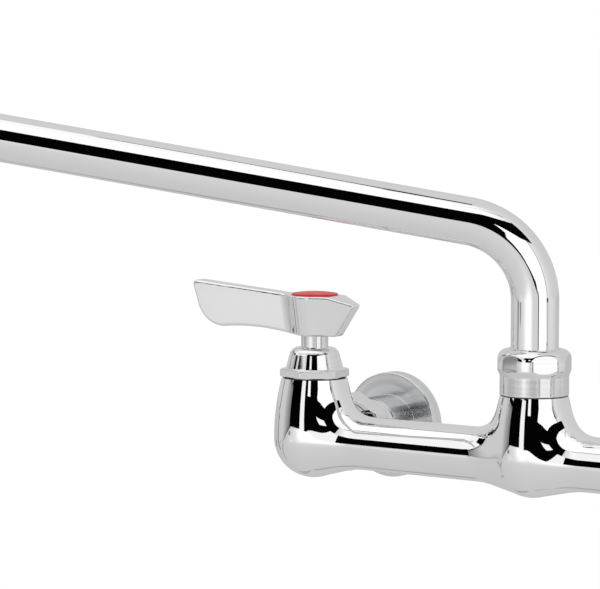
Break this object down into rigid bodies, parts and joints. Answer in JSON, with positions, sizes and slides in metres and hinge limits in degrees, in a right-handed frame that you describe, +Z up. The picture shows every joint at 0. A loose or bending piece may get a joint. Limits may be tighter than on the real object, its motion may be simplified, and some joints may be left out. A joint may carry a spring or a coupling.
{
  "type": "wall mounted mixing faucet",
  "caption": "Wall-mounted kitchen mixing faucet: a straight cast body with quarter-turn lever valves, a long rigid swing spout and threaded wall flanges.",
  "frame": {"origin": "on the wall face, midway between the two inlets, at the height of the body's arm", "axes": "+Z up, +Y into the wall, +X to the right along the wall for someone facing it"},
  "size_m": [0.4327, 0.2284, 0.1627],
  "materials": {
    "cast_chrome": "cast brass, polished and chrome plated to a mirror",
    "handle_chrome": "cast lever, polished and chrome plated",
    "spout_chrome": "drawn brass tube, polished and chrome plated",
    "bonnet_chrome": "turned hexagon bar, chrome plated",
    "spout_nut_chrome": "turned nut, polished crown over a finely turned skirt",
    "union_nut_chrome": "turned hexagon nut, chrome plated",
    "flange_chrome": "turned flange, chrome plated, turning marks left in its face",
    "aerator_chrome": "turned cap, polished and chrome plated",
    "satin_stem": "turned spindle, satin",
    "turned_brass": "bare turned brass",
    "stainless": "bare stainless steel",
    "disc_ceramic": "lapped alumina, matt",
    "black_rubber": "moulded nitrile",
    "white_nylon": "moulded nylon",
    "insert_plastic": "moulded grey acetal",
    "red_index": "moulded red plastic, glossy",
    "blue_index": "moulded blue plastic, glossy"
  },
  "bodies": {
    "faucet": {"faucet_body": "cast_chrome", "swivel_lower_washer": "white_nylon", "swivel_upper_washer": "white_nylon", "spout_nut": "spout_nut_chrome", "hot_inlet_flange": "flange_chrome", "hot_union_nut": "union_nut_chrome", "hot_snap_ring": "stainless", "hot_inlet_washer": "black_rubber", "hot_seat_seal": "black_rubber", "hot_fixed_disc": "disc_ceramic", "hot_cartridge_sleeve": "turned_brass", "hot_bonnet": "bonnet_chrome", "hot_bonnet_gasket": "black_rubber", "cold_inlet_flange": "flange_chrome", "cold_union_nut": "union_nut_chrome", "cold_snap_ring": "stainless", "cold_inlet_washer": "black_rubber", "cold_seat_seal": "black_rubber", "cold_fixed_disc": "disc_ceramic", "cold_cartridge_sleeve": "turned_brass", "cold_bonnet": "bonnet_chrome", "cold_bonnet_gasket": "black_rubber"},
    "hot_lever": {"hot_rotating_disc": "disc_ceramic", "hot_stem": "satin_stem", "hot_stem_o_rings": "black_rubber", "hot_stem_washer": "white_nylon", "hot_lever_handle": "handle_chrome", "hot_index_button": "red_index", "hot_handle_screw": "stainless"},
    "cold_lever": {"cold_rotating_disc": "disc_ceramic", "cold_stem": "satin_stem", "cold_stem_o_rings": "black_rubber", "cold_stem_washer": "white_nylon", "cold_lever_handle": "handle_chrome", "cold_index_button": "blue_index", "cold_handle_screw": "stainless"},
    "spout": {"spout_tube": "spout_chrome", "spout_ferrule": "turned_brass", "swivel_o_rings": "black_rubber", "aerator_housing": "aerator_chrome", "aerator_insert": "insert_plastic", "aerator_washer": "black_rubber"}
  },
  "joints": [
    {"name": "spout_swivel", "type": "hinge", "parent": "faucet", "child": "spout", "pos_m": [0, -0.06, 0], "axis": [0, 0, 1], "range_deg": [-40, 158]},
    {"name": "hot_valve", "type": "hinge", "parent": "faucet", "child": "hot_lever", "pos_m": [-0.1016, -0.06, 0], "axis": [0, 0, 1], "range_deg": [0, 90]},
    {"name": "cold_valve", "type": "hinge", "parent": "faucet", "child": "cold_lever", "pos_m": [0.1016, -0.06, 0], "axis": [0, 0, -1], "range_deg": [0, 90]}
  ]
}
